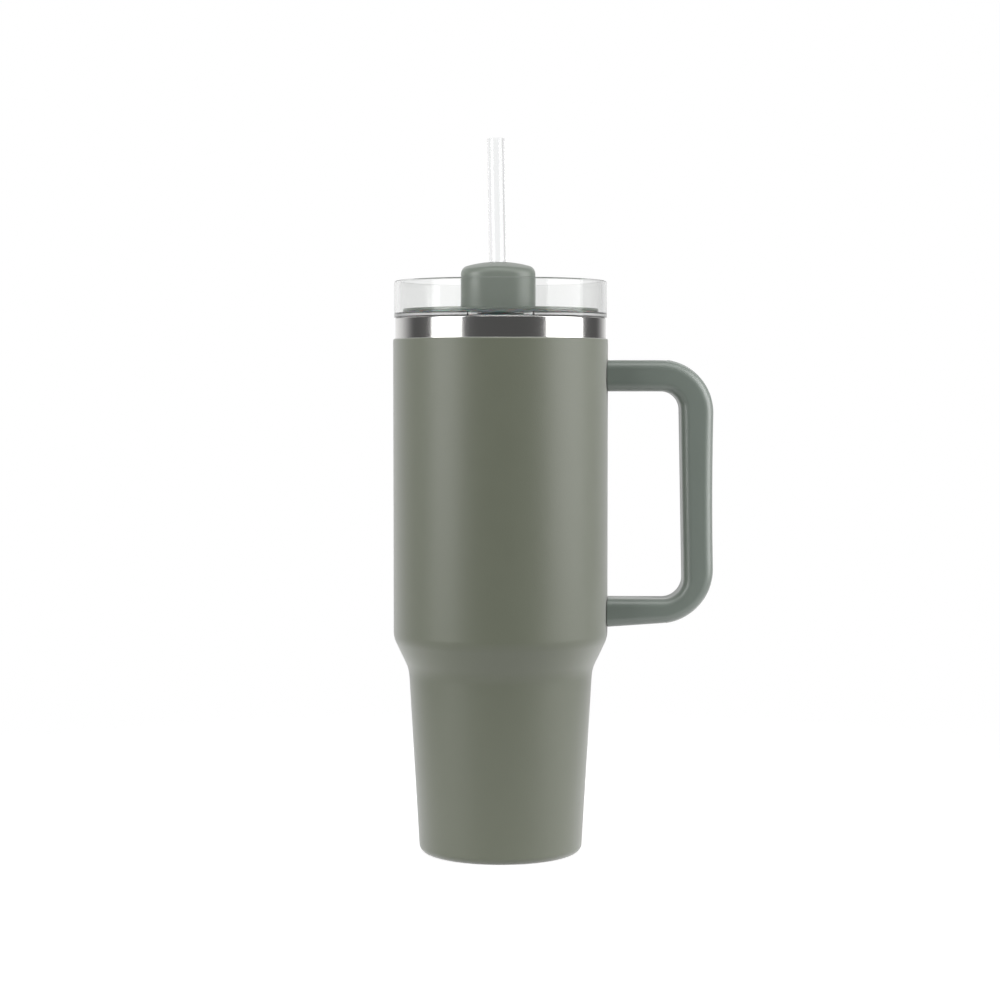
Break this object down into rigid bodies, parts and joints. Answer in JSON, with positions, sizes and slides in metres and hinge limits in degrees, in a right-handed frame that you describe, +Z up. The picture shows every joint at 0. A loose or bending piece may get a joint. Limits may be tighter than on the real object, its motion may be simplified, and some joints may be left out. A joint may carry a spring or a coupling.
{
  "type": "insulated tumbler with lid",
  "caption": "Double-walled steel tumbler with a side handle, a clear push-in lid, a turning cover with a sip slot, and a clear straw.",
  "frame": {"origin": "centre of the ring that the vessel stands on", "axes": "+Z up along the vessel's axis, +X towards the handle, -Y towards the sip slot at rest"},
  "size_m": [0.149, 0.1, 0.3329],
  "materials": {
    "coated_steel": "satin powder coat, fine texture",
    "bare_steel": "polished on the neck, brushed inside",
    "sheet_steel": "mill finish",
    "copper_foil": "bright foil",
    "sealing_glass": "fused bead",
    "screw_steel": "plated",
    "handle_plastic": "satin moulded",
    "grip_rubber": "matt, soft",
    "clear_plastic": "clear, glossy",
    "seal_silicone": "translucent white silicone",
    "cover_plastic": "satin moulded",
    "clip_plastic": "satin moulded",
    "straw_plastic": "clear, glossy"
  },
  "bodies": {
    "vessel": {"outer_shell": "coated_steel", "inner_liner": "bare_steel", "foil_wrap": "copper_foil", "base_plate": "sheet_steel", "vacuum_seal_bead": "sealing_glass", "getter": "sheet_steel", "base_cap": "sheet_steel", "upper_lug": "sheet_steel", "lower_lug": "sheet_steel", "upper_screw": "screw_steel", "lower_screw": "screw_steel", "handle_frame": "handle_plastic", "grip_strip": "grip_rubber"},
    "lid": {"lid_body": "clear_plastic", "lid_seal": "seal_silicone"},
    "cover": {"rotating_cover": "cover_plastic", "cover_seal": "seal_silicone", "hub_clip": "clip_plastic", "straw_grommet": "seal_silicone"},
    "straw": {"straw": "straw_plastic"}
  },
  "joints": [
    {"name": "lid_lift", "type": "slide", "parent": "vessel", "child": "lid", "axis": [0, 0, 1], "range_m": [0, 0.26]},
    {"name": "cover_turn", "type": "hinge", "parent": "lid", "child": "cover", "pos_m": [0, 0, 0.254], "axis": [0, 0, 1], "range_deg": [0, 90]},
    {"name": "straw_slide", "type": "slide", "parent": "cover", "child": "straw", "axis": [-0.0175, 0, 0.9998], "range_m": [0, 0.27]}
  ]
}
